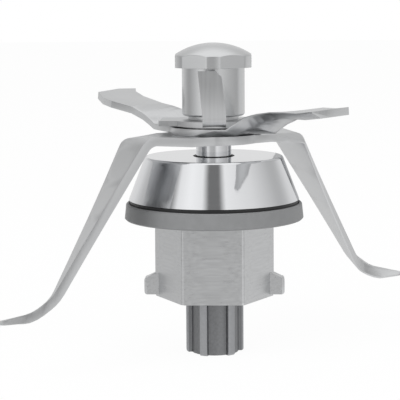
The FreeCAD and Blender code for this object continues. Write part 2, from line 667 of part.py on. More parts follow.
def make_wave_spring():
    outside = BEARING_OUTSIDE / 2.0 - FIT_GAP
    inside = outside - SPRING_WALL
    half = SPRING_STRIP / 2.0
    rails = [wave_edge(outside, -half), wave_edge(outside, half), wave_edge(inside, half),
             wave_edge(inside, -half)]
    faces = [Part.makeRuledSurface(first, second) for first, second in zip(rails, rails[1:] + rails[:1])]
    return Part.makeSolid(Part.makeShell(faces))


def make_retaining_ring():
    # An inside ring with an open gap, sprung into its groove under the lower bearing
    top = LOWER_BEARING_BOTTOM - FIT_GAP
    outside = BEARING_OUTSIDE + 2 * RING_GROOVE - 2 * FIT_GAP
    ring = tube(outside, outside - 2 * RING_WALL, top - RING_THICKNESS, top)
    half = math.radians(RING_GAP_ANGLE / 2.0)
    reach = BEARING_OUTSIDE
    gap = prism([(0, 0), (reach, -reach * math.tan(half)), (reach, reach * math.tan(half))],
                top - RING_THICKNESS, top)
    return ring.cut(gap)


def make_seal_case():
    outside = SEAL_BORE_DIAMETER / 2.0
    inside = outside - SEAL_CASE_WALL
    floor = SHAFT_SEAL_BOTTOM + SEAL_CASE_WALL
    return spun([(outside, SHAFT_SEAL_BOTTOM), (outside, SHAFT_SEAL_TOP), (inside, SHAFT_SEAL_TOP),
                 (inside, floor), (inside - SEAL_LIP_HEIGHT, floor),
                 (inside - SEAL_LIP_HEIGHT, SHAFT_SEAL_BOTTOM)])


def make_shaft_seal():
    # Rubber body in the case, a sprung lip on the collar and a dust lip that stands in the bell's hole
    case = SEAL_BORE_DIAMETER / 2.0 - SEAL_CASE_WALL - FIT_GAP
    floor = SHAFT_SEAL_BOTTOM + SEAL_CASE_WALL + FIT_GAP
    shaft = COLLAR_DIAMETER / 2.0 + RUNNING_GAP
    lip = shaft + DUST_LIP_WALL
    web = floor + SEAL_LIP_HEIGHT
    groove = lip + GARTER_SECTION
    return spun([(case, floor), (case, SHAFT_SEAL_TOP), (lip, SHAFT_SEAL_TOP), (lip, BELL_TOP + SEAT_GAP),
                 (shaft, BELL_TOP + SEAT_GAP), (shaft, SHAFT_SEAL_BOTTOM + FIT_GAP),
                 (lip, SHAFT_SEAL_BOTTOM + FIT_GAP), (lip, web), (groove + DUST_LIP_WALL, web),
                 (groove + DUST_LIP_WALL, floor)])


def make_garter_spring():
    radius = COLLAR_DIAMETER / 2.0 + RUNNING_GAP + DUST_LIP_WALL + GARTER_SECTION / 2.0 + FIT_GAP
    middle = SHAFT_SEAL_BOTTOM + SEAL_CASE_WALL + GARTER_SECTION
    return Part.makeTorus(radius, GARTER_SECTION / 2.0, vec(0, 0, middle), UP)


def main():
    os.makedirs("parts", exist_ok=True)
    nodes = {
        "knob_nut": make_knob_nut(),
        "lock_plate": make_lock_plate(),
        "blade_washer": make_blade_washer(),
        "upper_blade": make_upper_blade(),
        "lower_blade": make_lower_blade(),
        "shaft_collar": make_shaft_collar(),
        "shaft": make_shaft(),
        "bearing_spacer": make_bearing_spacer(),
        "drive_coupling": make_drive_coupling(),
        "bell": make_bell(),
        "housing": make_housing(),
        "bowl_seal": make_bowl_seal(),
        "bell_o_ring": make_bell_o_ring(),
        "outer_spacer": make_outer_spacer(),
        "wave_spring": make_wave_spring(),
        "retaining_ring": make_retaining_ring(),
        "seal_case": make_seal_case(),
        "shaft_seal": make_shaft_seal(),
        "garter_spring": make_garter_spring(),
    }
    for place, bottom in (("lower", LOWER_BEARING_BOTTOM), ("upper", UPPER_BEARING_BOTTOM)):
        nodes[place + "_inner_ring"] = inner_ring(bottom)
        nodes[place + "_outer_ring"] = outer_ring(bottom)
        nodes[place + "_balls"] = balls(bottom)
        nodes[place + "_cage"] = cage(bottom)
        nodes[place + "_shields"] = shields(bottom)
    for name, shape in nodes.items():
        shape.exportStep("parts/" + name + ".step")


main()
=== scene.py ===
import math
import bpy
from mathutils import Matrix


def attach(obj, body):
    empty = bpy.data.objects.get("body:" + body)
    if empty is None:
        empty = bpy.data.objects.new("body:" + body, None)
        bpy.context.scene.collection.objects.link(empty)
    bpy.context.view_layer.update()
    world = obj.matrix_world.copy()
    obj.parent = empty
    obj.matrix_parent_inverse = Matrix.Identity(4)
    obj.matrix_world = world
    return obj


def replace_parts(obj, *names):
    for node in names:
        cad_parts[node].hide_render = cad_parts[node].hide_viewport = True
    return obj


bl_info = {
    "name": "Food processor blade unit",
    "version": (1, 0, 0),
    "blender": (4, 5, 0),
    "location": "3D View > Sidebar > Blade unit",
    "description": "Finishes the pieces of a bladed mixing spindle and its bearing housing",
    "category": "Object",
}

import bmesh
import bpy
from mathutils import Matrix, Vector

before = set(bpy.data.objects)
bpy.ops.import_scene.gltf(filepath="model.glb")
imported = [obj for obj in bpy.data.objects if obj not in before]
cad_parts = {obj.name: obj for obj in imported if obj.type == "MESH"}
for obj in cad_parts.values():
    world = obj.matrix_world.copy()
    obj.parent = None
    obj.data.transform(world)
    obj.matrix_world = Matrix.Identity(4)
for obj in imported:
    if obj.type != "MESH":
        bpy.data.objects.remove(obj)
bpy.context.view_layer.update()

MM = 0.001

# Vertices nearer than this are one, and so are faces that lean less than this from each other
MERGE_DISTANCE = 0.001 * MM
FLATNESS = math.radians(0.1)

# Edges sharper than the first are broken, and bends flatter than the second shade smooth
BROKEN_ANGLE = math.radians(30.0)
SMOOTH_ANGLE = math.radians(38.0)

# Cuts across the tab's curve, lugs of the housing, ribs of the coupling, and steps of a circle
TAB_CUTS = 7
LUG_COUNT = 2
RIB_COUNT = 6
ROUND_STEPS = 96

# How far from the root radius a vertex still counts as root, as a share of that radius
ROOT_BAND = 0.1

# How far the flats beside a lug lean back from it
FLAT_LEAN = math.radians(30.0)

# Level directions of the blades' arms, along which their sheet is ground
UPPER_ARM_ANGLE = math.radians(104.5)
LOWER_ARM_ANGLE = 0.0

# The part of a noise pattern's range that nearly all of it lies in
NOISE_RANGE = {"From Min": 0.3, "From Max": 0.7}

# Noise detail of tool marks, and how slowly they change round the spindle and along an arm
LINE_DETAIL = 3.0
LATHE_DRIFT = 0.04
BELT_STRETCH = 0.03

# Width of the border between rubbed and dark faces of the coupling
WORN_FADE = 0.2 * MM


def linear(code):
    """Linear colour of an sRGB hex code"""
    channels = [int(code[start:start + 2], 16) / 255.0 for start in (1, 3, 5)]
    return [c / 12.92 if c <= 0.04045 else ((c + 0.055) / 1.055) ** 2.4 for c in channels] + [1.0]


def add_node(tree, kind, settings=None, links=None):
    """Adds a shader node, with input values or node settings by name and its incoming links"""
    node = tree.nodes.new(kind)
    for name, value in (settings or {}).items():
        if isinstance(name, int) or name in node.inputs:
            node.inputs[name].default_value = value
        else:
            setattr(node, name, value)
    for name, socket in (links or {}).items():
        tree.links.new(socket, node.inputs[name])
    return node


def start_material(name, colour, metallic, roughness):
    """New material with its shader's constant values, its node tree and its shader"""
    material = bpy.data.materials.new(name)
    material.use_nodes = True
    tree = material.node_tree
    shader = tree.nodes["Principled BSDF"]
    shader.inputs["Base Color"].default_value = colour[:]
    shader.inputs["Metallic"].default_value = metallic
    shader.inputs["Roughness"].default_value = roughness
    return material, tree, shader


def object_place(tree):
    """Place on the piece that a pattern goes by"""
    return add_node(tree, "ShaderNodeTexCoord").outputs["Object"]


def spindle_distance(tree, place):
    """Distance from the spindle's axis"""
    across = add_node(tree, "ShaderNodeVectorMath", {"operation": "MULTIPLY", 1: (1, 1, 0)},
                      {0: place})
    return add_node(tree, "ShaderNodeVectorMath", {"operation": "LENGTH"},
                    {0: across.outputs[0]}).outputs["Value"]


def lathe_lines(tree, pitch):
    """Uneven rings around the spindle, as a lathe tool or a polishing wheel leaves them"""
    place = object_place(tree)
    parts = add_node(tree, "ShaderNodeSeparateXYZ", links={0: place})
    drift = add_node(tree, "ShaderNodeMath", {"operation": "MULTIPLY", 1: LATHE_DRIFT},
                     {0: parts.outputs["X"]})
    rings = add_node(tree, "ShaderNodeCombineXYZ", links={
        "X": spindle_distance(tree, place), "Y": drift.outputs[0], "Z": parts.outputs["Z"]})
    return add_node(tree, "ShaderNodeTexNoise", {"Scale": 1.0 / pitch, "Detail": LINE_DETAIL},
                    {"Vector": rings.outputs[0]}).outputs["Fac"]


def belt_lines(tree, pitch, direction):
    """Straight uneven scratches along one arm, as a grinding belt leaves them"""
    turned = add_node(tree, "ShaderNodeMapping", {"Rotation": (0, 0, -direction)},
                      {"Vector": object_place(tree)})
    drawn = add_node(tree, "ShaderNodeMapping", {"Scale": (BELT_STRETCH, 1, BELT_STRETCH)},
                     {"Vector": turned.outputs[0]})
    return add_node(tree, "ShaderNodeTexNoise", {"Scale": 1.0 / pitch, "Detail": LINE_DETAIL},
                    {"Vector": drawn.outputs[0]}).outputs["Fac"]


def grain(tree, size, detail=4.0):
    """Shapeless mottling of a given grain size"""
    return add_node(tree, "ShaderNodeTexNoise", {"Scale": 1.0 / size, "Detail": detail},
                    {"Vector": object_place(tree)}).outputs["Fac"]


def drive_roughness(tree, shader, pattern, low, high):
    """Lets a pattern swing the roughness between two values"""
    spread = add_node(tree, "ShaderNodeMapRange", {**NOISE_RANGE, "To Min": low, "To Max": high},
                      {"Value": pattern})
    tree.links.new(spread.outputs["Result"], shader.inputs["Roughness"])


def shade(colour, factor):
    """A colour made darker or lighter"""
    return [min(1.0, channel * factor) for channel in colour[:3]] + [1.0]


def two_tones(tree, pattern, colour, dark, light):
    """Colour that a pattern swings between a darker and a lighter shade of it"""
    ramp = add_node(tree, "ShaderNodeMapRange", NOISE_RANGE, {"Value": pattern})
    return add_node(tree, "ShaderNodeMix", {
        "data_type": "RGBA", 6: shade(colour, dark), 7: shade(colour, light)},
        {0: ramp.outputs["Result"]}).outputs[2]


def drive_colour(tree, shader, pattern, colour, spread):
    """Lets a pattern swing the base colour a share below and above its own tone"""
    tone = two_tones(tree, pattern, colour, 1.0 - spread, 1.0 + spread)
    tree.links.new(tone, shader.inputs["Base Color"])


def drive_bump(tree, shader, pattern, height):
    """Turns a pattern into relief of a real height"""
    relief = add_node(tree, "ShaderNodeBump", {"Strength": 1.0, "Distance": height},
                      {"Height": pattern})
    tree.links.new(relief.outputs["Normal"], shader.inputs["Normal"])


def round_the_spindle(tree, shader, strength):
    """Draws highlights out across the lathe rings"""
    shader.inputs["Anisotropic"].default_value = strength
    tangent = add_node(tree, "ShaderNodeTangent", {"direction_type": "RADIAL", "axis": "Z"})
    tree.links.new(tangent.outputs["Tangent"], shader.inputs["Tangent"])


class FinishColours(bpy.types.PropertyGroup):
    """Colours of the materials that show"""

    polished: bpy.props.FloatVectorProperty(
        name="Polished steel", description="Buffed stainless steel of the bell and the collar",
        subtype="COLOR", size=4, default=linear("#E2E3E5"))
    turned: bpy.props.FloatVectorProperty(
        name="Turned steel", description="Satin stainless bar of the knob nut and the shaft",
        subtype="COLOR", size=4, default=linear("#CFD0D1"))
    ground: bpy.props.FloatVectorProperty(
        name="Ground steel", description="Belt-ground stainless sheet of the blades",
        subtype="COLOR", size=4, default=linear("#CBCCCD"))
    milled: bpy.props.FloatVectorProperty(
        name="Milled steel", description="Milled stainless bar of the bearing housing",
        subtype="COLOR", size=4, default=linear("#CECFD0"))
    sintered: bpy.props.FloatVectorProperty(
        name="Sintered steel", description="Steam-blackened steel powder of the drive coupling",
        subtype="COLOR", size=4, default=linear("#8F9092"))
    rubber: bpy.props.FloatVectorProperty(
        name="Seal rubber", description="Grey silicone of the bowl seal",
        subtype="COLOR", size=4, default=linear("#808182"))


def mirror_steel(colour):
    # Stainless steel buffed to a mirror on a wheel: crisp dark and bright bands with a faint haze
    material, tree, shader = start_material("mirror_polished_stainless", colour, 1.0, 0.06)
    drive_roughness(tree, shader, lathe_lines(tree, 0.5 * MM), 0.045, 0.1)
    drive_bump(tree, shader, grain(tree, 9.0 * MM, 1.0), 0.02 * MM)
    return material


def turned_steel(colour):
    # Stainless bar turned on a lathe: satin sheen drawn out across very fine rings
    # The real rings are about 0.05 mm apart, drawn at 0.4 mm so that they show
    material, tree, shader = start_material("turned_stainless_bar", colour, 1.0, 0.22)
    pattern = lathe_lines(tree, 0.4 * MM)
    drive_roughness(tree, shader, pattern, 0.18, 0.27)
    drive_bump(tree, shader, pattern, 0.0025 * MM)
    round_the_spindle(tree, shader, 0.4)
    return material


def ground_sheet(name, colour, direction):
    # Hardened stainless sheet with a belt finish: soft bright faces with fine lengthwise scratches
    # Belt scratches are about 0.05 mm apart, drawn at 0.6 mm so that they show
    material, tree, shader = start_material(name, colour, 1.0, 0.35)
    pattern = belt_lines(tree, 0.6 * MM, direction)
    drive_colour(tree, shader, pattern, colour, 0.04)
    drive_roughness(tree, shader, pattern, 0.3, 0.4)
    drive_bump(tree, shader, pattern, 0.0012 * MM)
    return material


def milled_steel(colour):
    # Stainless bar turned and then milled to a hexagon: even satin with level tool marks
    material, tree, shader = start_material("milled_stainless_bar", colour, 1.0, 0.32)
    pattern = lathe_lines(tree, 0.6 * MM)
    drive_colour(tree, shader, pattern, colour, 0.075)
    drive_roughness(tree, shader, pattern, 0.27, 0.38)
    drive_bump(tree, shader, pattern, 0.003 * MM)
    return material


def sintered_steel(colour, worn_radius):
    # Pressed and sintered steel powder, steam blackened: dark, grainy and slightly oily
    # The mating coupling has rubbed the faces of the ribs bright
    material, tree, shader = start_material("sintered_steel", colour, 1.0, 0.45)
    pores = grain(tree, 0.7 * MM)
    worn = add_node(tree, "ShaderNodeMapRange", {
        "From Min": worn_radius - WORN_FADE, "From Max": worn_radius},
        {"Value": spindle_distance(tree, object_place(tree))})
    rubbed = add_node(tree, "ShaderNodeMix", {"data_type": "RGBA", 7: shade(colour, 1.5)}, {
        0: worn.outputs["Result"], 6: two_tones(tree, pores, colour, 0.8, 1.05)})
    tree.links.new(rubbed.outputs[2], shader.inputs["Base Color"])
    drive_roughness(tree, shader, pores, 0.36, 0.55)
    drive_bump(tree, shader, pores, 0.012 * MM)
    return material


def silicone_rubber(colour):
    # Moulded grey silicone: soft even skin with a weak wide sheen and a dusting of bloom
    material, tree, shader = start_material("grey_silicone_rubber", colour, 0.0, 0.5)
    bloom = grain(tree, 2.4 * MM)
    drive_colour(tree, shader, bloom, colour, 0.05)
    drive_roughness(tree, shader, bloom, 0.42, 0.58)
    drive_bump(tree, shader, grain(tree, 0.5 * MM), 0.004 * MM)
    return material


def nitrile_rubber():
    # Moulded black nitrile rubber of the real seals: nearly black with a dull sheen. It also
    # colours the black ring under the bell, which is painted shade
    material, tree, shader = start_material("black_nitrile_rubber_and_painted_shade", linear("#1C1C1D"), 0.0, 0.45)
    skin = grain(tree, 0.4 * MM)
    drive_roughness(tree, shader, skin, 0.38, 0.55)
    drive_bump(tree, shader, skin, 0.005 * MM)
    return material


def bearing_steel():
    # Chrome bearing steel, honed and bright with a faint grey cast
    material, tree, shader = start_material("honed_bearing_steel", linear("#C9CBCE"), 1.0, 0.12)
    drive_roughness(tree, shader, lathe_lines(tree, 0.3 * MM), 0.08, 0.18)
    return material


def cage_nylon():
    # Glass-filled nylon of the ball cages: off-white and slightly rough from the glass
    colour = linear("#B9AE96")
    material, tree, shader = start_material("glass_filled_nylon", colour, 0.0, 0.5)
    fibres = grain(tree, 0.3 * MM)
    drive_colour(tree, shader, fibres, colour, 0.08)
    drive_bump(tree, shader, fibres, 0.006 * MM)
    return material


def pressed_steel():
    # Cold-rolled steel pressings with a clear zinc coat: pale, a little cloudy
    colour = linear("#B6B9BC")
    material, tree, shader = start_material("zinc_coated_steel", colour, 1.0, 0.3)
    cloud = grain(tree, 1.2 * MM)
    drive_colour(tree, shader, cloud, colour, 0.1)
    drive_roughness(tree, shader, cloud, 0.24, 0.38)
    return material


def spring_steel():
    # Blued spring steel: dark grey with a soft metallic sheen
    material, tree, shader = start_material("oiled_spring_steel", linear("#6E7176"), 1.0, 0.32)
    drive_roughness(tree, shader, grain(tree, 0.6 * MM), 0.26, 0.4)
    return material


class EdgeSizes(bpy.types.PropertyGroup):
    """Sizes of the broken edges, which catch the light on the real pieces"""

    knob: bpy.props.FloatProperty(
        name="Knob edges", description="Width of the broken edges of the knob nut",
        default=0.18 * MM, min=0.0, unit="LENGTH")
    blade: bpy.props.FloatProperty(
        name="Blade edges", description="Width of the tumbled edges of the blades",
        default=0.12 * MM, min=0.0, unit="LENGTH")
    plate: bpy.props.FloatProperty(
        name="Plate edges", description="Width of the tumbled edges of the lock plate",
        default=0.25 * MM, min=0.0, unit="LENGTH")
    housing: bpy.props.FloatProperty(
        name="Housing edges", description="Width of the broken edges of the bearing housing",
        default=0.12 * MM, min=0.0, unit="LENGTH")
    coupling: bpy.props.FloatProperty(
        name="Coupling edges", description="Width of the pressed edges of the drive coupling",
        default=0.25 * MM, min=0.0, unit="LENGTH")
    # Edges of the black ring under the bell, which is painted shade of the gap there
    painted_shade_ring: bpy.props.FloatProperty(
        name="Painted shade ring edges", description="Width of the rounded edges of the gasket under the bell",
        default=0.2 * MM, min=0.0, unit="LENGTH")


class ShapeSizes(bpy.types.PropertyGroup):
    """Sizes of the forms that the finished copies change or add"""

    tab_angle: bpy.props.FloatProperty(
        name="Tab direction", description="Level direction in which the tab stands off the knob",
        default=math.radians(-120.0), unit="ROTATION")
    tab_foot: bpy.props.FloatProperty(
        name="Tab foot", description="Height at which the bend of the tab ends",
        default=66.9 * MM, unit="LENGTH")
    tab_curve_height: bpy.props.FloatProperty(
        name="Tab curve", description="Height over which the tab straightens",
        default=9.0 * MM, min=0.001, unit="LENGTH")
    tab_bow: bpy.props.FloatProperty(
        name="Tab bow", description="How far the curve carries the top of the tab outwards",
        default=1.7 * MM, unit="LENGTH")
    lug_angle: bpy.props.FloatProperty(
        name="Lug direction", description="Level direction of the first bayonet lug",
        default=math.radians(-32.8), unit="ROTATION")
    lug_share: bpy.props.FloatProperty(
        name="Lug width share", description="Width of a lug as a share of the CAD lug",
        default=0.5, min=0.1, max=1.0)
    lug_room: bpy.props.FloatProperty(
        name="Lug half width", description="Half the width of the CAD lug, with some room",
        default=4.1 * MM, unit="LENGTH")
    lug_root: bpy.props.FloatProperty(
        name="Lug root", description="Distance from the spindle at which a lug begins",
        default=13.9 * MM, unit="LENGTH")
    lug_bottom: bpy.props.FloatProperty(
        name="Lug bottom", description="Height just under the lugs",
        default=16.4 * MM, unit="LENGTH")
    lug_top: bpy.props.FloatProperty(
        name="Lug top", description="Height just above the lugs",
        default=25.0 * MM, unit="LENGTH")
    hexagon_corner: bpy.props.FloatProperty(
        name="Hexagon corner", description="Distance of the hexagon's corners from the spindle",
        default=16.8 * MM, unit="LENGTH")
    flat_reach: bpy.props.FloatProperty(
        name="Flat tolerance",
        description="How near a vertex is to a flat of the hexagon to lie on it",
        default=0.35 * MM, unit="LENGTH")
    rib_angle: bpy.props.FloatProperty(
        name="Rib direction", description="Level direction of the first rib of the coupling",
        default=math.radians(35.0), unit="ROTATION")
    rib_top: bpy.props.FloatProperty(
        name="Rib top", description="Height at which the ribs end",
        default=14.9 * MM, unit="LENGTH")
    rib_root: bpy.props.FloatProperty(
        name="Rib root", description="Radius of the CAD coupling between its ribs",
        default=5.4 * MM, unit="LENGTH")
    rib_foot: bpy.props.FloatProperty(
        name="Rib foot angle", description="Half angle that a CAD rib takes at its root",
        default=math.radians(15.8), unit="ROTATION")
    rib_share: bpy.props.FloatProperty(
        name="Rib width share", description="Width of a rib at its tip as a share of the CAD rib",
        default=0.8, min=0.1, max=1.0)
    root_share: bpy.props.FloatProperty(
        name="Rib foot share", description="Angle of a rib at its root as a share of the CAD rib",
        default=0.6, min=0.1, max=1.0)
    root_fill: bpy.props.FloatProperty(
        name="Hollow fill", description="How much the radius between the ribs grows",
        default=1.24, min=1.0)
    worn_radius: bpy.props.FloatProperty(
        name="Worn radius",
        description="Radius beyond which the ribs of the coupling are rubbed bright",
        default=7.7 * MM, unit="LENGTH")
    # The four sizes below place a black ring under the bell that is painted shade of the gap there
    painted_shade_ring_inner: bpy.props.FloatProperty(
        name="Painted shade ring bore radius", description="Inner radius of the gasket under the bell",
        default=22.7 * MM, unit="LENGTH")
    painted_shade_ring_outer: bpy.props.FloatProperty(
        name="Painted shade ring radius", description="Outer radius of the gasket under the bell",
        default=23.6 * MM, unit="LENGTH")
    painted_shade_ring_foot: bpy.props.FloatProperty(
        name="Painted shade ring foot", description="Height of the seal's recess, on which the gasket lies",
        default=41.5 * MM, unit="LENGTH")
    painted_shade_ring_top: bpy.props.FloatProperty(
        name="Painted shade ring top", description="Height of the gasket's top, just clear of the bell",
        default=43.4 * MM, unit="LENGTH")


class StudioSetup(bpy.types.PropertyGroup):
    """Camera and studio around the piece"""

    distance: bpy.props.FloatProperty(
        name="Camera distance", description="From the camera to the point it looks at",
        default=425.6 * MM, min=0.1, unit="LENGTH")
    heading: bpy.props.FloatProperty(
        name="Camera heading", description="Level direction in which the camera looks, from +X",
        default=math.radians(59.0), unit="ROTATION")
    pitch: bpy.props.FloatProperty(
        name="Camera pitch", description="How far the camera looks down",
        default=math.radians(7.65), unit="ROTATION")
    roll: bpy.props.FloatProperty(
        name="Camera roll", description="Turn of the camera about its line of sight",
        default=math.radians(-0.36), unit="ROTATION")
    aim_height: bpy.props.FloatProperty(
        name="Aim height", description="Height on the spindle that the camera looks at",
        default=43.0 * MM, unit="LENGTH")
    focal_length: bpy.props.FloatProperty(
        name="Focal length", description="Focal length on a 36 mm wide sensor, in millimetres",
        default=136.8, min=1.0)
    side_shift: bpy.props.FloatProperty(
        name="Side shift",
        description="Lens shift that moves the spindle sideways, as a share of the frame's width",
        default=-14.05 / 400.0)
    backdrop: bpy.props.FloatVectorProperty(
        name="Backdrop", description="Colour of the backdrop and the floor", subtype="COLOR",
        size=4, default=linear("#FFFFFF"))


def finish_node(node, material):
    """Gives a CAD node its material"""
    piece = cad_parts[node]
    piece.data.materials.clear()
    piece.data.materials.append(material)


def merged_copy(node):
    """Shape of a CAD node with its loose triangles joined and its flat faces whole"""
    shape = bmesh.new()
    shape.from_mesh(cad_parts[node].data)
    bmesh.ops.remove_doubles(shape, verts=shape.verts, dist=MERGE_DISTANCE)
    bmesh.ops.dissolve_limit(shape, angle_limit=FLATNESS, verts=shape.verts, edges=shape.edges)
    return shape


def break_edges(shape, width):
    """Bevels every edge that is sharper than a tessellated bend"""
    sharp = [edge for edge in shape.edges
             if edge.is_manifold and edge.calc_face_angle() > BROKEN_ANGLE]
    bmesh.ops.bevel(shape, geom=sharp, offset=width, offset_type="OFFSET", segments=2, profile=0.5,
                    affect="EDGES", clamp_overlap=True, material=-1)


def place_piece(shape, name, body, material, flat_faced=True):
    """Makes a finished shape a piece with smooth bends that rides on a body"""
    mesh = bpy.data.meshes.new(name)
    shape.to_mesh(mesh)
    shape.free()
    mesh.polygons.foreach_set("use_smooth", [True] * len(mesh.polygons))
    mesh.set_sharp_from_angle(angle=SMOOTH_ANGLE)
    piece = bpy.data.objects.new(name, mesh)
    bpy.context.scene.collection.objects.link(piece)
    if flat_faced:
        piece.modifiers.new("even_shading", "WEIGHTED_NORMAL").keep_sharp = True
    mesh.materials.append(material)
    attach(piece, body)
    return piece


def finish_copy(shape, node, body, width, material, flat_faced=True):
    """Breaks the edges of a merged copy and puts it in its node's place"""
    break_edges(shape, width)
    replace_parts(place_piece(shape, node + "_finished", body, material, flat_faced), node)


def level_direction(angle, rise=0.0):
    """Direction at a level angle from +X and an angle of rise"""
    return Vector((math.cos(angle) * math.cos(rise), math.sin(angle) * math.cos(rise),
                   math.sin(rise)))


def cut_level(shape, height):
    """Cuts a shape's faces at one height, so that it can bend or change there"""
    bmesh.ops.bisect_plane(shape, geom=shape.verts[:] + shape.edges[:] + shape.faces[:],
                           plane_co=(0.0, 0.0, height), plane_no=(0.0, 0.0, 1.0),
                           dist=MERGE_DISTANCE)


def curve_tab(shape, sizes):
    """Gives the lock plate's tab the slow curve that a press brake leaves at its foot"""
    for step in range(1, TAB_CUTS + 1):
        cut_level(shape, sizes.tab_foot + sizes.tab_curve_height * step / TAB_CUTS)
    outward = level_direction(sizes.tab_angle)
    for vert in shape.verts:
        rise = min(vert.co.z - sizes.tab_foot, sizes.tab_curve_height) / sizes.tab_curve_height
        if rise > 0.0:
            shift = outward * sizes.tab_bow * rise * (2.0 - rise)
            bmesh.ops.translate(shape, vec=shift, verts=[vert])


def narrow_lugs(shape, sizes):
    """Brings the sides of both lugs nearer together along the flats that they stand on"""
    slope = math.tan(FLAT_LEAN)
    for vert in shape.verts:
        for place in range(LUG_COUNT):
            angle = sizes.lug_angle + math.tau * place / LUG_COUNT
            outward = level_direction(angle)
            side = level_direction(angle + math.pi / 2.0)
            out, across = vert.co.dot(outward), vert.co.dot(side)
            near_lug = abs(across) < sizes.lug_room and out > sizes.lug_root
            if near_lug and sizes.lug_bottom < vert.co.z < sizes.lug_top:
                inward = across * (1.0 - sizes.lug_share)
                on_flat = abs(out + abs(across) * slope - sizes.hexagon_corner) < sizes.flat_reach
                shift = -side * inward + outward * (abs(inward) * slope if on_flat else 0.0)
                bmesh.ops.translate(shape, vec=shift, verts=[vert])


def slim_ribs(shape, sizes):
    """Fills the hollows of the coupling and slims its ribs"""
    pitch = math.tau / RIB_COUNT
    cut_level(shape, sizes.rib_top)
    for vert in shape.verts:
        if vert.co.z < sizes.rib_top + MERGE_DISTANCE:
            radius = vert.co.xy.length
            angle = math.atan2(vert.co.y, vert.co.x) - sizes.rib_angle
            off = (angle + pitch / 2.0) % pitch - pitch / 2.0
            root_end = sizes.rib_root * (1.0 + ROOT_BAND)
            at_root = sizes.rib_root * (1.0 - ROOT_BAND) < radius < root_end
            if radius > root_end or (at_root and abs(off) < sizes.rib_foot):
                share = sizes.root_share if at_root else sizes.rib_share
                turn = Matrix.Rotation(-off * (1.0 - share), 3, "Z")
                bmesh.ops.rotate(shape, cent=(0.0, 0.0, 0.0), matrix=turn, verts=[vert])
            if at_root:
                bmesh.ops.scale(shape, vec=(sizes.root_fill, sizes.root_fill, 1.0), verts=[vert])


def spin_painted_shade_ring(sizes):
    """Square-cornered ring that fills the gap between the bell and the bowl seal, made black there
    as painted shade where the gap's shadow falls
    """
    shape = bmesh.new()
    corners = [shape.verts.new((radius, 0.0, height)) for radius, height in (
        (sizes.painted_shade_ring_inner, sizes.painted_shade_ring_foot), (sizes.painted_shade_ring_outer, sizes.painted_shade_ring_foot),
        (sizes.painted_shade_ring_outer, sizes.painted_shade_ring_top), (sizes.painted_shade_ring_inner, sizes.painted_shade_ring_top))]
    outline = [shape.edges.new((corners[place - 1], corners[place]))
               for place in range(len(corners))]
    bmesh.ops.spin(shape, geom=corners + outline, cent=(0.0, 0.0, 0.0), axis=(0.0, 0.0, 1.0),
                   angle=math.tau, steps=ROUND_STEPS, use_merge=True)
    bmesh.ops.recalc_face_normals(shape, faces=shape.faces)
    return shape


class FinishKnob(bpy.types.Operator):
    """Knob nut with its domed head and six flats, turned from stainless bar"""

    bl_idname = "blade_unit.finish_knob"
    bl_label = "Knob nut"

    def execute(self, context):
        material = turned_steel(context.scene.finish_colours.turned)
        finish_copy(merged_copy("knob_nut"), "knob_nut", "rotor",
                    context.scene.edge_sizes.knob, material)
        return {"FINISHED"}


class FinishLockPlate(bpy.types.Operator):
    """Lock plate with the tab bent up beside the knob"""

    bl_idname = "blade_unit.finish_lock_plate"
    bl_label = "Lock plate"

    def execute(self, context):
        sizes = context.scene.shape_sizes
        material = ground_sheet("belt_ground_lock_plate", context.scene.finish_colours.ground,
                                sizes.tab_angle)
        plate = merged_copy("lock_plate")
        curve_tab(plate, sizes)
        finish_copy(plate, "lock_plate", "rotor",
                    context.scene.edge_sizes.plate, material)
        return {"FINISHED"}


class FinishBlades(bpy.types.Operator):
    """Both two-armed blades and the washer on top of them"""

    bl_idname = "blade_unit.finish_blades"
    bl_label = "Blades"

    def execute(self, context):
        width = context.scene.edge_sizes.blade
        colour = context.scene.finish_colours.ground
        upper = ground_sheet("belt_ground_upper_blade", colour, UPPER_ARM_ANGLE)
        lower = ground_sheet("belt_ground_lower_blade", colour, LOWER_ARM_ANGLE)
        for blade, material in (("upper_blade", upper), ("lower_blade", lower)):
            finish_copy(merged_copy(blade), blade, "rotor", width, material,
                        flat_faced=False)
        finish_node("blade_washer", lower)
        return {"FINISHED"}


class FinishSpindle(bpy.types.Operator):
    """Shaft, its polished collar and the sleeve between the inner rings"""

    bl_idname = "blade_unit.finish_spindle"
    bl_label = "Spindle"

    def execute(self, context):
        colours = context.scene.finish_colours
        steel = turned_steel(colours.turned)
        finish_node("shaft", steel)
        finish_node("bearing_spacer", steel)
        finish_node("shaft_collar", mirror_steel(colours.polished))
        return {"FINISHED"}


class FinishBell(bpy.types.Operator):
    """Mirror-polished bell"""

    bl_idname = "blade_unit.finish_bell"
    bl_label = "Bell"

    def execute(self, context):
        finish_node("bell", mirror_steel(context.scene.finish_colours.polished))
        return {"FINISHED"}


class FinishHousing(bpy.types.Operator):
    """Hexagonal bearing housing with its two bayonet lugs"""

    bl_idname = "blade_unit.finish_housing"
    bl_label = "Bearing housing"

    def execute(self, context):
        housing = merged_copy("housing")
        narrow_lugs(housing, context.scene.shape_sizes)
        finish_copy(housing, "housing", "stator", context.scene.edge_sizes.housing,
                    milled_steel(context.scene.finish_colours.milled))
        return {"FINISHED"}


class FinishCoupling(bpy.types.Operator):
    """Six-ribbed drive coupling"""

    bl_idname = "blade_unit.finish_coupling"
    bl_label = "Drive coupling"

    def execute(self, context):
        sizes = context.scene.shape_sizes
        material = sintered_steel(context.scene.finish_colours.sintered, sizes.worn_radius)
        coupling = merged_copy("drive_coupling")
        slim_ribs(coupling, sizes)
        finish_copy(coupling, "drive_coupling", "rotor",
                    context.scene.edge_sizes.coupling, material)
        return {"FINISHED"}


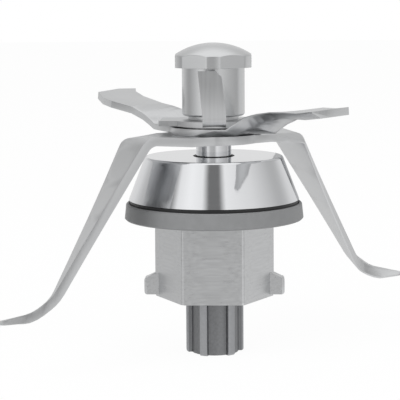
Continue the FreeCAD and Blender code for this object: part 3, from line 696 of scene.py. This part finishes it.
class FinishSeals(bpy.types.Operator):
    """Bowl seal, shaft seal, its case and spring, the bell's ring, and a black ring that paints
    the shade in the gap under the bell
    """

    bl_idname = "blade_unit.finish_seals"
    bl_label = "Seals"

    def execute(self, context):
        black = nitrile_rubber()
        grey = silicone_rubber(context.scene.finish_colours.rubber)
        finish_node("bowl_seal", grey)
        finish_node("bell_o_ring", black)
        finish_node("shaft_seal", black)
        finish_node("seal_case", pressed_steel())
        finish_node("garter_spring", spring_steel())
        # A black ring in the gap between the bell and the bowl seal: painted shade where the gap's
        # shadow falls
        painted_shade_ring = spin_painted_shade_ring(context.scene.shape_sizes)
        break_edges(painted_shade_ring, context.scene.edge_sizes.painted_shade_ring)
        place_piece(painted_shade_ring, "bell_painted_shade_ring", "stator", black)
        return {"FINISHED"}


class FinishBearings(bpy.types.Operator):
    """Both ball bearings, the sleeve between them, the preload spring and the retaining ring"""

    bl_idname = "blade_unit.finish_bearings"
    bl_label = "Ball bearings"

    def execute(self, context):
        steel = bearing_steel()
        nylon = cage_nylon()
        sheet = pressed_steel()
        spring = spring_steel()
        for place in ("lower", "upper"):
            finish_node(place + "_inner_ring", steel)
            finish_node(place + "_outer_ring", steel)
            finish_node(place + "_balls", steel)
            finish_node(place + "_cage", nylon)
            finish_node(place + "_shields", sheet)
        finish_node("outer_spacer", sheet)
        finish_node("wave_spring", spring)
        finish_node("retaining_ring", spring)
        return {"FINISHED"}


# The studio as bright metal sees it: angle in degrees to the right of the camera, and brightness
# High up stand the softboxes and a black flag, at table height the walls, and below is the table
# The high levels come from the bell's measured brightness in the photograph, and some of the
# others from the knob and the housing there, all tuned and then rounded
HIGH_RING = (
    ("backdrop behind, left", -180.0, 0.8),
    ("left wall", -125.0, 0.55),
    ("left wall's near end", -85.0, 0.45),
    ("black flag", -75.0, 0.15),
    ("black flag's near end", -67.0, 0.1),
    ("left softbox", -55.0, 0.95),
    ("left softbox's middle", -37.0, 1.1),
    ("left softbox's near end", -18.0, 1.0),
    ("gap for the camera", -8.0, 0.2),
    ("gap for the camera, right", 8.0, 0.2),
    ("right softbox", 18.0, 1.0),
    ("right softbox's far end", 60.0, 0.85),
    ("right wall", 100.0, 0.55),
    ("right wall's far end", 120.0, 0.5),
    ("backdrop behind, right", 180.0, 0.8),
)
LEVEL_RING = (
    ("backdrop behind, left", -180.0, 0.8),
    ("left wall", -140.0, 0.8),
    ("left wall's near end", -100.0, 0.45),
    ("left stand", -70.0, 0.7),
    ("left softbox's foot", -45.0, 1.0),
    ("dark room", -20.0, 0.55),
    ("dark room, right", 5.0, 0.5),
    ("right softbox's foot", 20.0, 0.9),
    ("right stand", 60.0, 0.65),
    ("right wall", 98.0, 0.5),
    ("right wall's far end", 112.0, 0.8),
    ("backdrop behind, right", 180.0, 0.8),
)
LOW_RING = (
    ("table behind, left", -180.0, 0.85),
    ("table, left", -90.0, 0.8),
    ("table's near edge", -15.0, 0.8),
    ("table's near edge, right", 15.0, 0.85),
    ("table under the right softbox", 45.0, 1.1),
    ("table, right", 90.0, 0.9),
    ("table behind, right", 180.0, 0.85),
)


# Heights, as the sine of the angle, between which the table fades to the walls, the walls to
# the softboxes, and the softboxes to the ceiling
TABLE_FADE = (-0.4, -0.1)
WALL_FADE = (0.12, 0.32)
CEILING_FADE = (0.62, 0.86)

# Brightness of the ceiling in gloss, and of the whole studio as light on matt surfaces
CEILING_LEVEL = 1.1
EVEN_LEVEL = 0.62

# Floor radius in metres, and the share of backdrop colour in what the camera sees of the floor
FLOOR_RADIUS = 3.0
FLOOR_GLOW = 0.95

# Camera's sensor width in millimetres and its near limit in metres
SENSOR_WIDTH = 36.0
NEAR_CLIP = 0.01

# Lamps: degrees to the right of the camera, degrees of height, distance and size in metres, watts
SOFTBOXES = (
    ("key_softbox", -38.0, 42.0, 1.2, 0.8, 7.0),
    ("fill_softbox", 48.0, 30.0, 1.3, 0.9, 3.5),
)


def grey(level):
    """Neutral colour of one brightness"""
    return (level, level, level, 1.0)


def studio_ring(tree, share, ring):
    """Brightness around one ring of the studio"""
    bands = add_node(tree, "ShaderNodeValToRGB", links={"Fac": share})
    stops = bands.color_ramp.elements
    stops[0].position = 0.0
    stops[1].position = 1.0
    for _, place, _ in ring[1:-1]:
        stops.new((place + 180.0) / 360.0)
    for stop, (_, _, level) in zip(stops, ring):
        stop.color = grey(level)
    return bands.outputs["Color"]


def fade_up(tree, height, fade, below, above):
    """Fades from one brightness to another as the direction rises"""
    rise = add_node(tree, "ShaderNodeMapRange", {
        "interpolation_type": "SMOOTHSTEP", "From Min": fade[0], "From Max": fade[1]},
        {"Value": height})
    return add_node(tree, "ShaderNodeMix", {"data_type": "RGBA"}, {
        0: rise.outputs["Result"], 6: below, 7: above}).outputs[2]


def build_world(setup):
    """White for the camera, softboxes and flags for gloss, and an even level for the rest"""
    world = bpy.data.worlds.new("studio")
    bpy.context.scene.world = world
    world.use_nodes = True
    tree = world.node_tree
    direction = add_node(tree, "ShaderNodeTexCoord").outputs["Generated"]
    camera_side = setup.heading + math.pi
    turned = add_node(tree, "ShaderNodeVectorRotate", {
        "rotation_type": "Z_AXIS", "Angle": -camera_side}, {"Vector": direction})
    parts = add_node(tree, "ShaderNodeSeparateXYZ", links={0: turned.outputs[0]})
    angle = add_node(tree, "ShaderNodeMath", {"operation": "ARCTAN2"},
                     {0: parts.outputs["Y"], 1: parts.outputs["X"]})
    around = add_node(tree, "ShaderNodeMapRange", {"From Min": -math.pi, "From Max": math.pi},
                      {"Value": angle.outputs[0]})
    share = around.outputs["Result"]
    height = parts.outputs["Z"]
    ceiling = add_node(tree, "ShaderNodeRGB")
    ceiling.outputs[0].default_value = grey(CEILING_LEVEL)
    seen = fade_up(tree, height, TABLE_FADE, studio_ring(tree, share, LOW_RING),
                   studio_ring(tree, share, LEVEL_RING))
    seen = fade_up(tree, height, WALL_FADE, seen, studio_ring(tree, share, HIGH_RING))
    seen = fade_up(tree, height, CEILING_FADE, seen, ceiling.outputs[0])
    ray = add_node(tree, "ShaderNodeLightPath")
    gloss = add_node(tree, "ShaderNodeBackground", links={"Color": seen})
    even = add_node(tree, "ShaderNodeBackground", {"Color": grey(EVEN_LEVEL)})
    white = add_node(tree, "ShaderNodeBackground", {"Color": setup.backdrop[:]})
    not_camera = add_node(tree, "ShaderNodeMixShader", links={
        "Fac": ray.outputs["Is Glossy Ray"], 1: even.outputs[0], 2: gloss.outputs[0]})
    whole = add_node(tree, "ShaderNodeMixShader", links={
        "Fac": ray.outputs["Is Camera Ray"], 1: not_camera.outputs[0], 2: white.outputs[0]})
    tree.links.new(whole.outputs[0], tree.nodes["World Output"].inputs["Surface"])


def build_floor(setup):
    """Pale floor that takes the piece's soft shadow and otherwise melts into the backdrop"""
    shape = bmesh.new()
    bmesh.ops.create_circle(shape, cap_ends=True, radius=FLOOR_RADIUS, segments=ROUND_STEPS)
    mesh = bpy.data.meshes.new("floor")
    shape.to_mesh(mesh)
    shape.free()
    floor = bpy.data.objects.new("floor", mesh)
    bpy.context.scene.collection.objects.link(floor)
    material, tree, shader = start_material("pale_floor", setup.backdrop, 0.0, 0.9)
    glow = add_node(tree, "ShaderNodeEmission", {"Color": setup.backdrop[:], "Strength": 1.0})
    ray = add_node(tree, "ShaderNodeLightPath")
    shown = add_node(tree, "ShaderNodeMath", {"operation": "MULTIPLY", 1: FLOOR_GLOW},
                     {0: ray.outputs["Is Camera Ray"]})
    mixed = add_node(tree, "ShaderNodeMixShader", links={
        "Fac": shown.outputs[0], 1: shader.outputs[0], 2: glow.outputs[0]})
    tree.links.new(mixed.outputs[0], tree.nodes["Material Output"].inputs["Surface"])
    mesh.materials.append(material)
    floor.visible_glossy = False


def add_softbox(target, camera_side, name, side, height, distance, size, power):
    """Area lamp at a level angle to the right of the camera and an angle of height"""
    away = level_direction(camera_side + math.radians(side), math.radians(height))
    light = bpy.data.lights.new(name, "AREA")
    light.shape = "SQUARE"
    light.size = size
    light.energy = power
    lamp = bpy.data.objects.new(name, light)
    bpy.context.scene.collection.objects.link(lamp)
    lamp.location = target + away * distance
    lamp.rotation_mode = "QUATERNION"
    lamp.rotation_quaternion = (-away).to_track_quat("-Z", "Y")
    lamp.visible_glossy = False


class BuildStage(bpy.types.Operator):
    """Floor, backdrop, soft lamps and the camera"""

    bl_idname = "blade_unit.build_stage"
    bl_label = "Stage"

    def execute(self, context):
        setup = context.scene.studio_setup
        context.scene.view_settings.view_transform = "Standard"
        build_world(setup)
        build_floor(setup)
        target = Vector((0.0, 0.0, setup.aim_height))
        for softbox in SOFTBOXES:
            add_softbox(target, setup.heading + math.pi, *softbox)
        lens = bpy.data.cameras.new("camera")
        lens.sensor_width = SENSOR_WIDTH
        lens.lens = setup.focal_length
        lens.shift_x = setup.side_shift
        lens.clip_start = NEAR_CLIP
        camera = bpy.data.objects.new("camera", lens)
        context.scene.collection.objects.link(camera)
        ahead = level_direction(setup.heading, -setup.pitch)
        level = ahead.to_track_quat("-Z", "Y").to_matrix().to_4x4()
        camera.matrix_world = (Matrix.Translation(target - ahead * setup.distance) @ level
                               @ Matrix.Rotation(setup.roll, 4, "Z"))
        context.scene.camera = camera
        return {"FINISHED"}


PIECE_OPERATORS = (FinishKnob, FinishLockPlate, FinishBlades, FinishSpindle, FinishBell,
                   FinishHousing, FinishCoupling, FinishSeals, FinishBearings, BuildStage)


class BladeUnitPanel(bpy.types.Panel):
    """Lists the pieces and their sizes"""

    bl_idname = "VIEW3D_PT_blade_unit"
    bl_label = "Blade unit"
    bl_space_type = "VIEW_3D"
    bl_region_type = "UI"
    bl_category = "Blade unit"

    def draw(self, context):
        layout = self.layout
        for operator in PIECE_OPERATORS:
            layout.operator(operator.bl_idname)
        scene = context.scene
        for group in (scene.finish_colours, scene.edge_sizes, scene.shape_sizes,
                      scene.studio_setup):
            for name in group.__annotations__:
                layout.prop(group, name)


CLASSES = (FinishColours, EdgeSizes, ShapeSizes, StudioSetup, *PIECE_OPERATORS, BladeUnitPanel)


def register():
    for item in CLASSES:
        bpy.utils.register_class(item)
    bpy.types.Scene.finish_colours = bpy.props.PointerProperty(type=FinishColours)
    bpy.types.Scene.edge_sizes = bpy.props.PointerProperty(type=EdgeSizes)
    bpy.types.Scene.shape_sizes = bpy.props.PointerProperty(type=ShapeSizes)
    bpy.types.Scene.studio_setup = bpy.props.PointerProperty(type=StudioSetup)


def unregister():
    del bpy.types.Scene.studio_setup
    del bpy.types.Scene.shape_sizes
    del bpy.types.Scene.edge_sizes
    del bpy.types.Scene.finish_colours
    for item in reversed(CLASSES):
        bpy.utils.unregister_class(item)


def main():
    register()
    bpy.ops.blade_unit.finish_knob()
    bpy.ops.blade_unit.finish_lock_plate()
    bpy.ops.blade_unit.finish_blades()
    bpy.ops.blade_unit.finish_spindle()
    bpy.ops.blade_unit.finish_bell()
    bpy.ops.blade_unit.finish_housing()
    bpy.ops.blade_unit.finish_coupling()
    bpy.ops.blade_unit.finish_seals()
    bpy.ops.blade_unit.finish_bearings()
    bpy.ops.blade_unit.build_stage()


if __name__ == "__main__":
    main()
